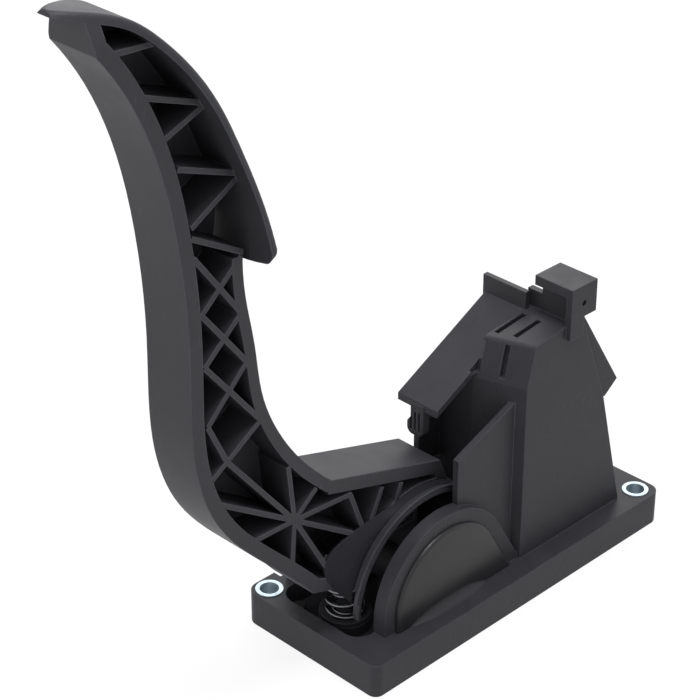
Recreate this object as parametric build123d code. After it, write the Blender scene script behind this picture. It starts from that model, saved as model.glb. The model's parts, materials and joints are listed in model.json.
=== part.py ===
import math
import os

from build123d import *

# Overall sizes in mm, X along the base, Y across it, Z up from the mounting face

BASE_L = 186.0
BASE_W = 78.0
PLATE_T = 15.5
CORNER_R = 6.0
FRONT_CORNER_R = 4.0
BACK_RECESS = 4.0
FRONT_MARGIN = 10.0

SLEEVE_INSET = 8.5
LEFT_INSET = 7.3
SLEEVE_OD = 12.0
SLEEVE_ID = 8.4
SLEEVE_PROUD = 0.5
SLEEVE_SPOTS = [
    (-BASE_L / 2 + LEFT_INSET, BASE_W / 2 - LEFT_INSET),
    (BASE_L / 2 - SLEEVE_INSET, -BASE_W / 2 + SLEEVE_INSET),
    (BASE_L / 2 - SLEEVE_INSET, BASE_W / 2 - SLEEVE_INSET),
]

# Tower that holds the plug and its wiring

ARM_Y = 3.0
TOWER_FRONT = -BASE_W / 2 + FRONT_MARGIN
TOWER_BACK = ARM_Y + 13.0
TOWER_LEFT = 6.5
TOWER_LEFT_BACK = -1.0
TOWER_TURN = TOWER_FRONT + 24.0
TOWER_WALL = 3.5
ROOF_Z = 121.5
ROOF_END = 29.0
ROOF_RISE = 0.105
LEAN_Z = ROOF_Z - 21.0
LEAN = 12.5
SLOT_W = 2.4
SLOT_DEEP = 2.2
FACE_SLOTS = [TOWER_FRONT + 11.8, TOWER_FRONT + 22.7]
ROOF_SLOTS = [TOWER_FRONT + 12.0, TOWER_FRONT + 20.2]
HOOD_TIP = -24.2
HOOD_TIP_Z = ROOF_Z - 27.6
HOOD_T = 3.4
HOOD_FRONT = TOWER_FRONT + 22.5
HOOD_BACK = TOWER_BACK
SEAL_T = 1.0
COVER_T = 3.0
COVER_DROP = 8.0
SCREW_R = 2.0
SCREW_SPOTS = [(12.5, 23.0), (64.0, 23.0), (12.5, ROOF_Z - 28.5), (37.0, ROOF_Z - 12.5)]
PLUG_X = 38.0
PLUG_Z = 62.0
PLUG_L = 27.0
PLUG_H = 14.0
PLUG_DEPTH = 14.0
PIN_R = 0.6
PIN_COUNT = 6
PIN_PITCH = 3.5

# Pivot and the two bearing walls

PIVOT_X = -39.0
PIVOT_Z = 22.0
WALL_IN = 24.0
FRONT_WALL_T = 6.5
BACK_WALL_T = 4.5
WALL_R = 37.0
GUSSET_T = 3.0
COLLAR_R = 13.0
COLLAR_T = 7.5
SHAFT_R = 5.0
RUN_GAP = 0.05
BUSH_R = 7.5
BUSH_L = 7.5

FRONT_WALL_IN = ARM_Y - WALL_IN
FRONT_WALL_OUT = FRONT_WALL_IN - FRONT_WALL_T
BACK_WALL_IN = ARM_Y + WALL_IN
BACK_WALL_OUT = BACK_WALL_IN + BACK_WALL_T
WALLS = [(FRONT_WALL_IN, FRONT_WALL_OUT), (BACK_WALL_IN, BACK_WALL_OUT)]
CLIP_Y = BACK_WALL_OUT + 1.0
CLIP_T = 1.0
GROOVE_DEEP = 0.6

# Sensor in the front bearing wall, under a half-round cap

COVER_R = 31.0
COVER_DEPTH = 1.8
COVER_FOOT = 8.6
POCKET_R = 25.0
POCKET_DEPTH = 2.4
CHAMBER_R = 11.0
CHAMBER_DEPTH = 5.8
BOARD_T = 1.2
CHIP_T = 0.6
MAGNET_T = 0.8
ROTOR_R = 9.0
BOARD_Y = FRONT_WALL_OUT + 0.1
ROTOR_FRONT = BOARD_Y + BOARD_T + CHIP_T + MAGNET_T + 0.8

# Arm and hub drum

ARM_HALF = 12.0
FLANGE_T = 6.2
FRONT_FLANGE_T = 5.0
RIB_T = 2.2
WEB_T = 3.0
WEB_SHIFT = 6.0
DRUM_R = 41.7
DRUM_T = 1.6
DRUM_HALF = 19.5
DRUM_LEFT = 163.0
DRUM_RIGHT = 40.0
DRUM_REACH = DRUM_R - DRUM_T / 2
LIP_T = 3.0
LIP_LEFT = 181.0
TUBE_R = 10.0
TUBE_HALF = 15.0
HEEL = 60.0
PAD_HALF = 18.8
PAD_FLARE = 6.0
PAD_ARCH = 63.0
PAD_ARCH_H = 74.0
PAD_ROUND = 2.0
PAD_LEAN = 30.4

# Open well in the plate under the hub

WELL_LEFT = PIVOT_X - DRUM_R - 4.3
WELL_RIGHT = -6.0
WELL_FLOOR = 4.0
WELL_CORNER = 8.0

# Return springs

SPRING_X = PIVOT_X - DRUM_R + 12.2
SPRING_LOW = 11.5
SPRING_HIGH = 44.0
SEAT_T = 2.0
CUP_T = 2.0
SHELF_T = 3.0
SHELF_Z = SPRING_HIGH + CUP_T
OUTER_R = 9.0
OUTER_WIRE = 1.7
OUTER_TURNS = 6.0
INNER_R = 5.9
INNER_WIRE = 1.3
INNER_TURNS = 8.0

# Rubber stops as X, Y, radius, foot and top

STEM = 2.5
FULL_STOP = (PIVOT_X - DRUM_R + 2.2, ARM_Y + DRUM_HALF - LIP_T / 2, 3.2, WELL_FLOOR, 9.6)
IDLE_STOP = (-15.0, ARM_Y, 4.0, WELL_FLOOR, 14.5)

# Corner points of the arm in the side view

BACK_CURVE = [(-99, 41), (-124, 68), (-149, 99), (-158.3, 127), (-159.2, 174),
              (-161.8, 217), (-173.5, 267), (-193.5, 302)]
PAD_FRONT = [(-203.5, 318.2), (-190, 315.6), (-178, 310.8), (-167.6, 302.2), (-149, 278.4), (-135.1, 249.6),
             (-127.9, 228.1), (-125.2, 200.5)]
PAD_UNDER = [(-203.8, 316), (-191, 312.4), (-180, 308), (-170, 299.8), (-151.9, 276.6), (-138, 248.4),
             (-131, 227.4), (-129.4, 200.5)]
PAD_SEAT = [(-195, 314.8), (-190.5, 314), (-179, 309.4), (-168.8, 301), (-150.4, 277.5), (-136.2, 249.2),
            (-130.6, 227.9), (-132.4, 208)]
FRONT_CURVE = [PAD_SEAT[-1], (-131.4, 190), (-127.7, 169.5), (-124.5, 147), (-116, 125.4),
               (-106, 110), (-88.2, 90.8)]
ARM_TIP = (-24.6, 71.5)

LATTICE_BACK = [(-155.5, 215), (-152.8, 191), (-152.2, 169), (-151.8, 143.5), (-150.6, 119.6)]
LATTICE_FRONT = [(-133, 208), (-133.7, 185), (-131.6, 163.5), (-125.3, 135.4)]
CROSSING = (-142.9, 124.4)
STAR = (-108.6, 81.4)
STAR_ENDS = [CROSSING, (-111.5, 108), (-96.5, 91), (-77, 79), (-64, 51), (-84.4, 38),
             (-110.2, 58), (-129.5, 82), (-147, 107)]
ZIGZAG = [((-77.5, 79), (-66, 47.8)), ((-59, 74), (-70, 50)), ((-47.6, 71), (-51.6, 60)),
          ((-22.5, 64), (-26, 56))]
PAD_RIBS = [((-186, 301), (-167, 300)), ((-175, 282.4), (-147, 272)), ((-166, 264.5), (-147, 272)),
            ((-161, 251.5), (-132, 240.5)), ((-156, 227), (-132, 240.5)), ((-156, 223), (-130, 208))]


def slab(outline, y_low, y_high):
    """Thicken an outline drawn in X and Z between two stations along Y."""
    return Pos(0, y_high, 0) * extrude(Plane.XZ * outline, y_high - y_low)


def polygon(*points):
    """Closed face through points given as X and Z."""
    return make_face(Polyline(*points, close=True))


def polar(radius, angle):
    """Point on a circle round the pivot, angle in degrees from +X."""
    turn = math.radians(angle)
    return (PIVOT_X + radius * math.cos(turn), PIVOT_Z + radius * math.sin(turn))


def strip(start, end, thickness):
    """Straight rib section between two points."""
    dx, dz = end[0] - start[0], end[1] - start[1]
    length = math.hypot(dx, dz)
    middle = ((start[0] + end[0]) / 2, (start[1] + end[1]) / 2)
    return Pos(*middle) * Rot(0, 0, math.degrees(math.atan2(dz, dx))) * Rectangle(length, thickness)


def ring_sector(r_out, r_in, high, low):
    """Part of a ring round the pivot between two angles."""
    outer = CenterArc((PIVOT_X, PIVOT_Z), r_out, low, high - low)
    inner = CenterArc((PIVOT_X, PIVOT_Z), r_in, low, high - low)
    ends = [Line(outer @ 0, inner @ 0), Line(outer @ 1, inner @ 1)]
    return make_face([outer, inner] + ends)


def rod(radius, y_low, y_high, x=PIVOT_X, z=PIVOT_Z):
    """Round bar along Y."""
    return slab(Pos(x, z) * Circle(radius), y_low, y_high)


def post(radius, z_low, z_high, x, y):
    """Round bar along Z."""
    return Pos(x, y, z_low) * extrude(Circle(radius), z_high - z_low)


def block(x_low, x_high, y_low, y_high, z_low, z_high):
    """Box between six stations."""
    size = (x_high - x_low, y_high - y_low, z_high - z_low)
    middle = ((x_low + x_high) / 2, (y_low + y_high) / 2, (z_low + z_high) / 2)
    return Pos(*middle) * Box(*size)


def plate():
    """Mounting plate with three bolt corners and a ribbed underside."""
    half_l, half_w = BASE_L / 2, BASE_W / 2
    sheet = extrude(Rectangle(BASE_L, BASE_W), PLATE_T)
    recess = block(-half_l + 2 * SLEEVE_INSET, half_l - 2 * SLEEVE_INSET,
                   half_w - BACK_RECESS, half_w + 1, -1, PLATE_T + 1)
    corners = sheet.edges().filter_by(Axis.Z)
    near_left = [e for e in corners if e.center().X < 0 and e.center().Y < 0]
    others = [e for e in corners if e not in near_left]
    sheet = fillet(others, CORNER_R)
    corners = sheet.edges().filter_by(Axis.Z)
    sharp = [e for e in corners if e.center().X < -half_l + 1 and e.center().Y < -half_w + 1]
    sheet = fillet(sharp, FRONT_CORNER_R) - recess
    for x in (18.0, 42.0, 66.0):
        for y in (-17.0, 17.0):
            sheet -= block(x - 10.5, x + 10.5, y - 12.5, y + 12.5, -1, PLATE_T - 6.5)
    length, width = WELL_RIGHT - WELL_LEFT, 2 * WALL_IN
    well = Pos((WELL_LEFT + WELL_RIGHT) / 2, ARM_Y) * RectangleRounded(length, width, WELL_CORNER)
    return sheet - Pos(0, 0, WELL_FLOOR) * extrude(well, PLATE_T)


def bearing_wall(radius, foot):
    """Upright half-round wall at the pivot, flared into the plate on the right."""
    left = PIVOT_X - radius
    arc_end = polar(radius, 30)
    flare = (arc_end[1] - foot) * math.tan(math.radians(30))
    corner = (arc_end[0] + flare, foot)
    arc = ThreePointArc((left, PIVOT_Z), polar(radius, 105), arc_end)
    return make_face([Line((left, foot), (left, PIVOT_Z)), arc, Line(arc_end, corner), Line(corner, (left, foot))])


def gusset():
    """Brace from the front bearing wall up to the tower."""
    left, right, top = PIVOT_X + 9.5, TOWER_LEFT + 5, PIVOT_Z + WALL_R + 20.4
    return polygon((left, PLATE_T - 1), (left, top), (right, top + (right - left) * 0.4), (right, PLATE_T - 1))


def roof_z(x):
    """Height of the sloping roof."""
    return ROOF_Z - (ROOF_END - x) * ROOF_RISE


def hood_z(x):
    """Height of the hood's upper face."""
    return HOOD_TIP_Z + (x - HOOD_TIP) * (ROOF_Z - HOOD_TIP_Z) / (ROOF_END - HOOD_TIP)


def face_x(y, z):
    """Place of the tower's left face, which leans in towards the roof."""
    share = (y - TOWER_FRONT) / (TOWER_TURN - TOWER_FRONT)
    foot = TOWER_LEFT + (TOWER_LEFT_BACK - TOWER_LEFT) * share
    return foot + max(0, z - LEAN_Z) * math.tan(math.radians(LEAN))


def tower_cavity():
    """Hollow of the tower in front view."""
    left, floor, top = TOWER_LEFT + TOWER_WALL, PLATE_T + 3, ROOF_Z - COVER_DROP - 7
    return polygon((left, floor), (left, top - 14), (30, top), (38, top), (54, 76), (64, 38), (69, floor))


def tower_core():
    """Tower block with its slanting left face and sloping roof."""
    outline = polygon((TOWER_LEFT_BACK, PLATE_T - 1), (TOWER_LEFT_BACK, ROOF_Z), (41, ROOF_Z),
                      (58, 77), (68, 38), (74, PLATE_T - 1))
    body = slab(outline, TOWER_FRONT, TOWER_BACK)
    wedge = Polyline((TOWER_LEFT_BACK - 5, TOWER_FRONT - 1), (TOWER_LEFT, TOWER_FRONT - 1),
                     (TOWER_LEFT, TOWER_FRONT), (TOWER_LEFT_BACK, TOWER_TURN),
                     (TOWER_LEFT_BACK - 5, TOWER_TURN), close=True)
    body -= extrude(make_face(wedge), ROOF_Z + 5)
    run = Vector(TOWER_LEFT_BACK - TOWER_LEFT, TOWER_TURN - TOWER_FRONT, 0).normalized()
    tilt = math.radians(LEAN)
    out = Vector(-run.Y * math.cos(tilt), run.X * math.cos(tilt), math.sin(tilt))
    lean = Plane(origin=(TOWER_LEFT, TOWER_FRONT, LEAN_Z), x_dir=run, z_dir=out)
    body -= lean * Pos(0, 0, 20) * Box(200, 90, 40)
    sky = polygon((-40, roof_z(-40)), (ROOF_END, ROOF_Z), (ROOF_END, ROOF_Z + 30), (-40, ROOF_Z + 30))
    body -= slab(sky, TOWER_FRONT - 1, TOWER_BACK + 1)
    ridge = [e for e in body.edges() if e.center().Z > LEAN_Z + 12 and e.center().X < TOWER_LEFT + 4]
    return fillet(ridge, 2.0)


def hood():
    """Sloping sheet over the arm's end, with a back wall and a ribbed clip at its tip."""
    root = TOWER_LEFT_BACK + 1
    sheet = polygon((HOOD_TIP, HOOD_TIP_Z - HOOD_T), (HOOD_TIP, HOOD_TIP_Z), (ROOF_END, ROOF_Z),
                    (ROOF_END, ROOF_Z - HOOD_T))
    body = slab(sheet, HOOD_FRONT, HOOD_BACK)
    drop = polygon((root - 14, 60), (root - 14, hood_z(root - 14) - 1), (root, hood_z(root) - 1),
                   (root, 54), (root - 8, 54))
    body += slab(drop, HOOD_BACK - 3, HOOD_BACK)
    clip = block(HOOD_TIP - 0.5, HOOD_TIP + 3.5, ARM_Y - 2, ARM_Y + 7, HOOD_TIP_Z - 16.5, HOOD_TIP_Z - 1)
    clip = fillet(clip.edges().filter_by(Axis.X).group_by(Axis.Z)[0], 3)
    for y in (ARM_Y + 0.2, ARM_Y + 2.5, ARM_Y + 4.8):
        clip -= block(HOOD_TIP - 1, HOOD_TIP + 0.6, y - 0.6, y + 0.6, HOOD_TIP_Z - 14.5, HOOD_TIP_Z - 5)
    notch = Polyline((ARM_Y + 8.5, HOOD_TIP_Z - 2.5), (ARM_Y + 1.5, HOOD_TIP_Z - 3), (ARM_Y + 8.5, HOOD_TIP_Z - 13),
                     close=True)
    clip -= Pos(HOOD_TIP - 2, 0, 0) * extrude(Plane.YZ * make_face(notch), 3.5)
    return body + clip


def cable_hook():
    """Upright flange behind the roof and the open hook beside it."""
    left, right, top = ROOF_END + 1, ROOF_END + 17, ROOF_Z + 18
    foot = ROOF_Z - 1
    body = block(ROOF_END, ROOF_END + 2.5, TOWER_FRONT + 22, TOWER_BACK + 1, foot, ROOF_Z + 8.5)
    body += block(left, right, TOWER_FRONT - 2.5, TOWER_FRONT + 0.8, ROOF_Z + 3, top)
    body += block(left, right - 7.5, TOWER_FRONT - 2.5, TOWER_FRONT + 1, ROOF_Z - 6, ROOF_Z + 4)
    body += block(left, right, TOWER_FRONT, TOWER_FRONT + 18, top - 4.5, top)
    body += block(left + 4, left + 7, TOWER_FRONT, TOWER_FRONT + 17, foot, top - 1)
    body += block(left + 4, left + 7, TOWER_FRONT, TOWER_FRONT + 25, foot, ROOF_Z + 8)
    return body - rod(1.4, TOWER_FRONT - 3, TOWER_FRONT - 1, left + 8, top - 8.5)


def tower():
    """Hollow tower with slotted ridge, sloping hood, side fin and cable hook."""
    body = tower_core()
    above = polygon((-40, hood_z(-40)), (-40, ROOF_Z + 30), (ROOF_END, ROOF_Z + 30), (ROOF_END, ROOF_Z))
    body -= slab(above, HOOD_FRONT, TOWER_BACK + 1)
    body += hood() + cable_hook()
    fin = polygon((38, ROOF_Z - 2), (45.5, ROOF_Z - 2), (71, 78.5), (63, 72.5), (55, 77))
    body += slab(fin, TOWER_FRONT + 3, TOWER_FRONT + 6)
    body -= slab(tower_cavity(), TOWER_FRONT + TOWER_WALL, TOWER_BACK + 1)
    for x, z in SCREW_SPOTS:
        body += rod(SCREW_R + 2.2, TOWER_FRONT + 1, TOWER_BACK, x, z)
        body -= rod(SCREW_R, TOWER_BACK - 12, TOWER_BACK + 1, x, z)
    low, high = LEAN_Z + 2.5, ROOF_Z - 4.0
    for y in FACE_SLOTS:
        upright = polygon((face_x(y, low) - 4, low), (face_x(y, low) + SLOT_DEEP, low),
                          (face_x(y, high) + SLOT_DEEP, high), (face_x(y, high) - 4, high))
        body -= slab(upright, y - SLOT_W / 2, y + SLOT_W / 2)
    for y in ROOF_SLOTS:
        start, end = face_x(y, ROOF_Z) + 4, ROOF_END - 2
        level = polygon((start, roof_z(start) - SLOT_DEEP), (end, roof_z(end) - SLOT_DEEP),
                        (end, ROOF_Z + 2), (start, ROOF_Z + 2))
        body -= slab(level, y - SLOT_W / 2, y + SLOT_W / 2)
    return body


def base_housing():
    """One moulding: plate, well, bearing walls, gusset and tower."""
    body = plate() + tower()
    wall = bearing_wall(WALL_R, PLATE_T - 1)
    stem = polygon((PIVOT_X - COLLAR_R, PIVOT_Z), (PIVOT_X + COLLAR_R, PIVOT_Z),
                   (PIVOT_X + COLLAR_R, 0.5), (PIVOT_X - COLLAR_R, 0.5))
    for wall_in, wall_out in WALLS:
        side = 1 if wall_out > wall_in else -1
        low, high = sorted((wall_in - side * COLLAR_T, wall_in + side))
        body += slab(wall, *sorted((wall_in, wall_out)))
        body += rod(COLLAR_R, low, high) + slab(stem, low, high)
    body += slab(gusset(), FRONT_WALL_IN - GUSSET_T, FRONT_WALL_IN)
    body -= rod(BUSH_R, ARM_Y - BASE_W, ARM_Y + BASE_W)
    body -= rod(CHAMBER_R, FRONT_WALL_OUT - 1, FRONT_WALL_OUT + CHAMBER_DEPTH)
    body -= slab(half_disc(POCKET_R, 3.5), FRONT_WALL_OUT - 1, FRONT_WALL_OUT + POCKET_DEPTH)
    body += post(OUTER_R + 2.5, WELL_FLOOR - 1, SPRING_LOW - SEAT_T, SPRING_X, ARM_Y)
    for x, y in SLEEVE_SPOTS:
        body -= post(SLEEVE_OD / 2, -1, PLATE_T + 1, x, y)
    for x, y, radius, foot, top in (FULL_STOP, IDLE_STOP):
        body -= post(radius - 1.2, foot - STEM, foot + 1, x, y)
    return body


def stop(x, y, radius, foot, top):
    """Rubber bumper with a stem pressed into the plate."""
    head = post(radius, foot, top, x, y)
    head = fillet(head.edges().group_by(Axis.Z)[-1], 1.2)
    return head + post(radius - 1.2, foot - STEM, foot + 0.5, x, y)


def arm_edges():
    """Outer edges of the arm in order, each with the thickness of its flange."""
    heel, shank = polar(DRUM_REACH, HEEL), polar(DRUM_REACH, DRUM_LEFT)
    return [
        (Spline(*BACK_CURVE), FLANGE_T),
        (Line(BACK_CURVE[-1], PAD_SEAT[0]), FRONT_FLANGE_T),
        (Spline(*PAD_SEAT), 0),
        (Spline(*FRONT_CURVE), FRONT_FLANGE_T),
        (Line(FRONT_CURVE[-1], ARM_TIP), FLANGE_T),
        (Line(ARM_TIP, heel), FRONT_FLANGE_T),
        (ThreePointArc(heel, polar(DRUM_REACH, (HEEL + DRUM_LEFT) / 2), shank), 0),
        (Line(shank, BACK_CURVE[0]), FLANGE_T),
    ]


def band(edge, thickness):
    """Flange section along an outer edge, laid on its inner side."""
    count = 2 if edge.geom_type == GeomType.LINE else 13
    inner = []
    for i in range(count):
        spot, run = edge @ (i / (count - 1)), edge % (i / (count - 1))
        inner.append((spot.X + thickness * run.Y, spot.Y - thickness * run.X))
    far = Line(*inner) if count == 2 else Spline(*inner)
    return make_face([edge, far, Line(edge @ 0, inner[0]), Line(edge @ 1, inner[-1])])


def arm_frame(edges):
    """Flanges all round the side view of the arm."""
    frame = ring_sector(DRUM_REACH + RIB_T, DRUM_REACH, DRUM_LEFT, HEEL)
    for edge, thickness in edges:
        if thickness:
            frame += band(edge, thickness)
    for corner in (FRONT_CURVE[-1], ARM_TIP, BACK_CURVE[0]):
        frame += Pos(*corner) * Circle(FRONT_FLANGE_T)
    return frame


def arm_ribs():
    """Thin ribs that brace the two flanges."""
    ribs = []
    for i in range(3):
        ribs.append((LATTICE_BACK[i], LATTICE_FRONT[i + 1]))
        ribs.append((LATTICE_FRONT[i], LATTICE_BACK[i + 1]))
    ribs.append((LATTICE_BACK[3], CROSSING))
    ribs.append((LATTICE_FRONT[3], LATTICE_BACK[4]))
    ribs += [(STAR, end) for end in STAR_ENDS]
    ribs += ZIGZAG + PAD_RIBS
    pattern = strip(*ribs[0], RIB_T)
    for start, end in ribs[1:]:
        pattern += strip(start, end, RIB_T)
    return pattern


def pad_plane():
    """Plane along the foot plate, from its lower edge to its tip."""
    lean = math.radians(PAD_LEAN)
    return Plane(origin=(-129, ARM_Y, 203), x_dir=(0, 1, 0), z_dir=(math.cos(lean), 0, math.sin(lean)))


def pad_outline():
    """Foot plate seen square on, with an arched top and flared lower corners."""
    wide = PAD_HALF + PAD_FLARE
    arch = EllipticalCenterArc((0, PAD_ARCH), PAD_HALF, PAD_ARCH_H, 0, arc_size=180)
    right = Spline((PAD_HALF, PAD_ARCH), (wide, 3.8), tangents=((0, -1), (0.3, -1)))
    left = Spline((-PAD_HALF, PAD_ARCH), (-wide, 3.8), tangents=((0, -1), (-0.3, -1)))
    shape = make_face([arch, right, left, ThreePointArc((wide, 3.8), (0, 0.8), (-wide, 3.8))])
    return fillet(shape.vertices().group_by(Axis.Y)[0], 4)


def pad():
    """Curved foot plate with a rounded rim."""
    lines = [Spline(*PAD_UNDER), Spline(*PAD_FRONT)]
    lines += [Line(PAD_UNDER[i], PAD_FRONT[i]) for i in (0, -1)]
    sheet = slab(make_face(lines), ARM_Y - 2 * PAD_HALF, ARM_Y + 2 * PAD_HALF)
    sheet = sheet & extrude(pad_plane() * pad_outline(), 70, both=True)
    face = sheet.faces().sort_by(Axis((0, 0, 0), (0.8, 0, 0.6)))[-1]
    return fillet(face.edges(), PAD_ROUND)


def hub():
    """Drum, bearing tube, spring shelf and stop lug of the arm."""
    y_low, y_high = ARM_Y - DRUM_HALF, ARM_Y + DRUM_HALF
    shell = ring_sector(DRUM_R, DRUM_R - DRUM_T, DRUM_LEFT, DRUM_RIGHT)
    body = slab(shell, y_low, y_high)
    lip = ring_sector(DRUM_R, DRUM_R - DRUM_T, LIP_LEFT, DRUM_LEFT - 5)
    body += slab(lip, y_low, y_low + LIP_T) + slab(lip, y_high - LIP_T, y_high)
    body += rod(TUBE_R, ARM_Y - TUBE_HALF, ARM_Y + TUBE_HALF)
    fan = polygon((PIVOT_X, PIVOT_Z), polar(2 * DRUM_R, DRUM_RIGHT), polar(2 * DRUM_R, 100),
                  (PIVOT_X - 2 * DRUM_R, SHELF_Z), (PIVOT_X - TUBE_R, SHELF_Z), (PIVOT_X - TUBE_R, PIVOT_Z))
    web = fan & (Pos(PIVOT_X, PIVOT_Z) * Circle(DRUM_REACH))
    body += slab(web, ARM_Y + WEB_SHIFT - WEB_T / 2, ARM_Y + WEB_SHIFT + WEB_T / 2)
    spokes = strip(polar(TUBE_R - 2, 90), polar(DRUM_REACH, 90), RIB_T)
    spokes += strip(polar(TUBE_R - 2, DRUM_RIGHT + 1.6), polar(DRUM_REACH, DRUM_RIGHT + 1.6), RIB_T)
    spokes += strip((SPRING_X, SHELF_Z + SHELF_T / 2), (PIVOT_X, SHELF_Z + SHELF_T / 2), SHELF_T)
    lug = IDLE_STOP[0] + IDLE_STOP[2]
    spokes += polygon((PIVOT_X, PIVOT_Z - TUBE_R / 2), (lug, IDLE_STOP[4] + 0.5), (lug, IDLE_STOP[4] + 7.5),
                      (PIVOT_X, PIVOT_Z + TUBE_R * 0.9))
    return body + slab(spokes, ARM_Y - ARM_HALF, ARM_Y + ARM_HALF)


def pedal_arm():
    """One moulding: ribbed arm, foot plate and hub."""
    edges = arm_edges()
    outline = make_face([edge for edge, thickness in edges])
    section = (arm_frame(edges) + arm_ribs()) & outline
    body = slab(section, ARM_Y - ARM_HALF, ARM_Y + ARM_HALF)
    beside = Pos(0, 1.5 * PAD_ARCH + PAD_ARCH_H / 2) * Rectangle(4 * PAD_HALF, PAD_ARCH + PAD_ARCH_H)
    body -= extrude(pad_plane() * (beside - pad_outline()), 70, both=True)
    body += slab(outline, ARM_Y + WEB_SHIFT - WEB_T / 2, ARM_Y + WEB_SHIFT + WEB_T / 2)
    body += hub()
    pocket = post(OUTER_R + 1.6, 0, SHELF_Z, SPRING_X, ARM_Y)
    body = body - pocket + post(OUTER_R + 1.6, SHELF_Z, SHELF_Z + SHELF_T, SPRING_X, ARM_Y)
    body += pad()
    return body - rod(SHAFT_R, ARM_Y - BASE_W, ARM_Y + BASE_W)


def pivot_shaft():
    """Ground steel shaft, grooved at the back end."""
    body = rod(SHAFT_R, ROTOR_FRONT, BACK_WALL_OUT + 4.0)
    low, high = CLIP_Y, CLIP_Y + CLIP_T + 0.1
    return body - (rod(SHAFT_R + 1, low, high) - rod(SHAFT_R - GROOVE_DEEP, low, high))


def shaft_clip():
    """Open snap ring in the shaft groove."""
    ring = Pos(PIVOT_X, PIVOT_Z) * (Circle(SHAFT_R + 2.4) - Circle(SHAFT_R - GROOVE_DEEP))
    ring -= Pos(PIVOT_X, PIVOT_Z - 6) * Rectangle(SHAFT_R, 12)
    return slab(ring, CLIP_Y + 0.05, CLIP_Y + 0.05 + CLIP_T)


def bush(wall_in, wall_out):
    """Plain bush pressed into a bearing wall and its collar."""
    side = 1 if wall_out > wall_in else -1
    inner = wall_in - side * COLLAR_T
    low, high = sorted((inner, inner + side * BUSH_L))
    return rod(BUSH_R, low, high) - rod(SHAFT_R + RUN_GAP, low - 5, high + 5)


def washer(radius, y_low, y_high):
    """Flat ring on the shaft."""
    return rod(radius, y_low, y_high) - rod(SHAFT_R + RUN_GAP, y_low - 1, y_high + 1)


def coil(radius, wire, turns):
    """Round-wire compression spring standing on the seat."""
    mean = radius - wire / 2
    height = SPRING_HIGH - SPRING_LOW - wire
    path = Helix(pitch=height / turns, height=height, radius=mean)
    section = Plane(path @ 0, z_dir=path % 0) * Circle(wire / 2)
    spring = sweep(section, path=path, is_frenet=True)
    return Pos(SPRING_X, ARM_Y, SPRING_LOW + wire / 2) * spring


def spring_seat():
    """Ring in the plate pocket under both springs."""
    ring = post(OUTER_R + 2.3, SPRING_LOW - SEAT_T, SPRING_LOW, SPRING_X, ARM_Y)
    return ring + post(INNER_R - INNER_WIRE - 0.5, SPRING_LOW - 0.5, SPRING_LOW + 4, SPRING_X, ARM_Y)


def spring_cup():
    """Cap under the arm that centres both springs."""
    disc = post(OUTER_R + 1.5, SPRING_HIGH, SPRING_HIGH + CUP_T, SPRING_X, ARM_Y)
    return disc + post(INNER_R - INNER_WIRE - 0.5, SPRING_HIGH - 4, SPRING_HIGH + 0.5, SPRING_X, ARM_Y)


def sleeves():
    """Three zinc-plated steel sleeves that take the bolt load."""
    ring = Circle(SLEEVE_OD / 2) - Circle(SLEEVE_ID / 2)
    tube = extrude(ring, PLATE_T + SLEEVE_PROUD)
    return Compound([Pos(x, y, 0) * tube for x, y in SLEEVE_SPOTS])


def half_disc(radius, below):
    """Disc round the pivot, cut off a little below it."""
    cut = Pos(PIVOT_X, PIVOT_Z - below - radius) * Rectangle(4 * radius, 2 * radius)
    return Pos(PIVOT_X, PIVOT_Z) * Circle(radius) - cut


def sensor_cover():
    """Half-round cap over the sensor, with a foot that sweeps out on to the plate."""
    low, foot = FRONT_WALL_OUT - COVER_DEPTH, PLATE_T + 0.2
    body = slab(bearing_wall(COVER_R, foot), low, FRONT_WALL_OUT)
    rim = [e for e in body.edges() if e.center().Y < low + 0.01 and e.center().Z > foot + 1]
    body = fillet(rim, COVER_DEPTH - 0.3)
    reach = min(COVER_FOOT, FRONT_MARGIN - COVER_DEPTH - 0.5)
    lens = extrude(Pos(PIVOT_X, low, foot) * Ellipse(COVER_R * 0.75, reach), reach)
    sweep_out = Pos(PIVOT_X, low - reach - 0.4, foot + reach + 0.4) * Rot(0, 90, 0) * Cylinder(reach, 4 * COVER_R)
    return body + ((lens & block(-BASE_L, BASE_L, -BASE_W, FRONT_WALL_OUT, 0, ROOF_Z)) - sweep_out)


def sensor_board():
    """Circuit board behind the cap."""
    return slab(half_disc(POCKET_R - 1, 3), BOARD_Y, BOARD_Y + BOARD_T)


def hall_chips():
    """Two sensor chips facing the magnet."""
    low = BOARD_Y + BOARD_T
    chips = [block(PIVOT_X + x - 2, PIVOT_X + x + 2, low, low + CHIP_T, PIVOT_Z, PIVOT_Z + 5) for x in (-3.5, 3.5)]
    return Compound(chips)


def magnet_rotor():
    """Carrier pressed on the front end of the shaft."""
    high = FRONT_WALL_OUT + CHAMBER_DEPTH - 0.4
    return rod(ROTOR_R, ROTOR_FRONT, high) - rod(SHAFT_R, ROTOR_FRONT - 1, high + 1)


def sensor_magnet():
    """Ring magnet bonded to the carrier."""
    ring = rod(ROTOR_R - 0.6, ROTOR_FRONT - MAGNET_T, ROTOR_FRONT)
    return ring - rod(3.0, ROTOR_FRONT - 2, ROTOR_FRONT + 1)


def tower_back(inset):
    """Outline of the tower's open back, moved inwards."""
    foot, top = PLATE_T + 0.3, ROOF_Z - COVER_DROP
    face = polygon((TOWER_LEFT_BACK, foot), (TOWER_LEFT_BACK, top - 16), (ROOF_END, top), (43.5, top),
                   (58, 77), (68, 38), (73.7, foot))
    return offset(face, -inset, kind=Kind.INTERSECTION) if inset else face


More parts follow.
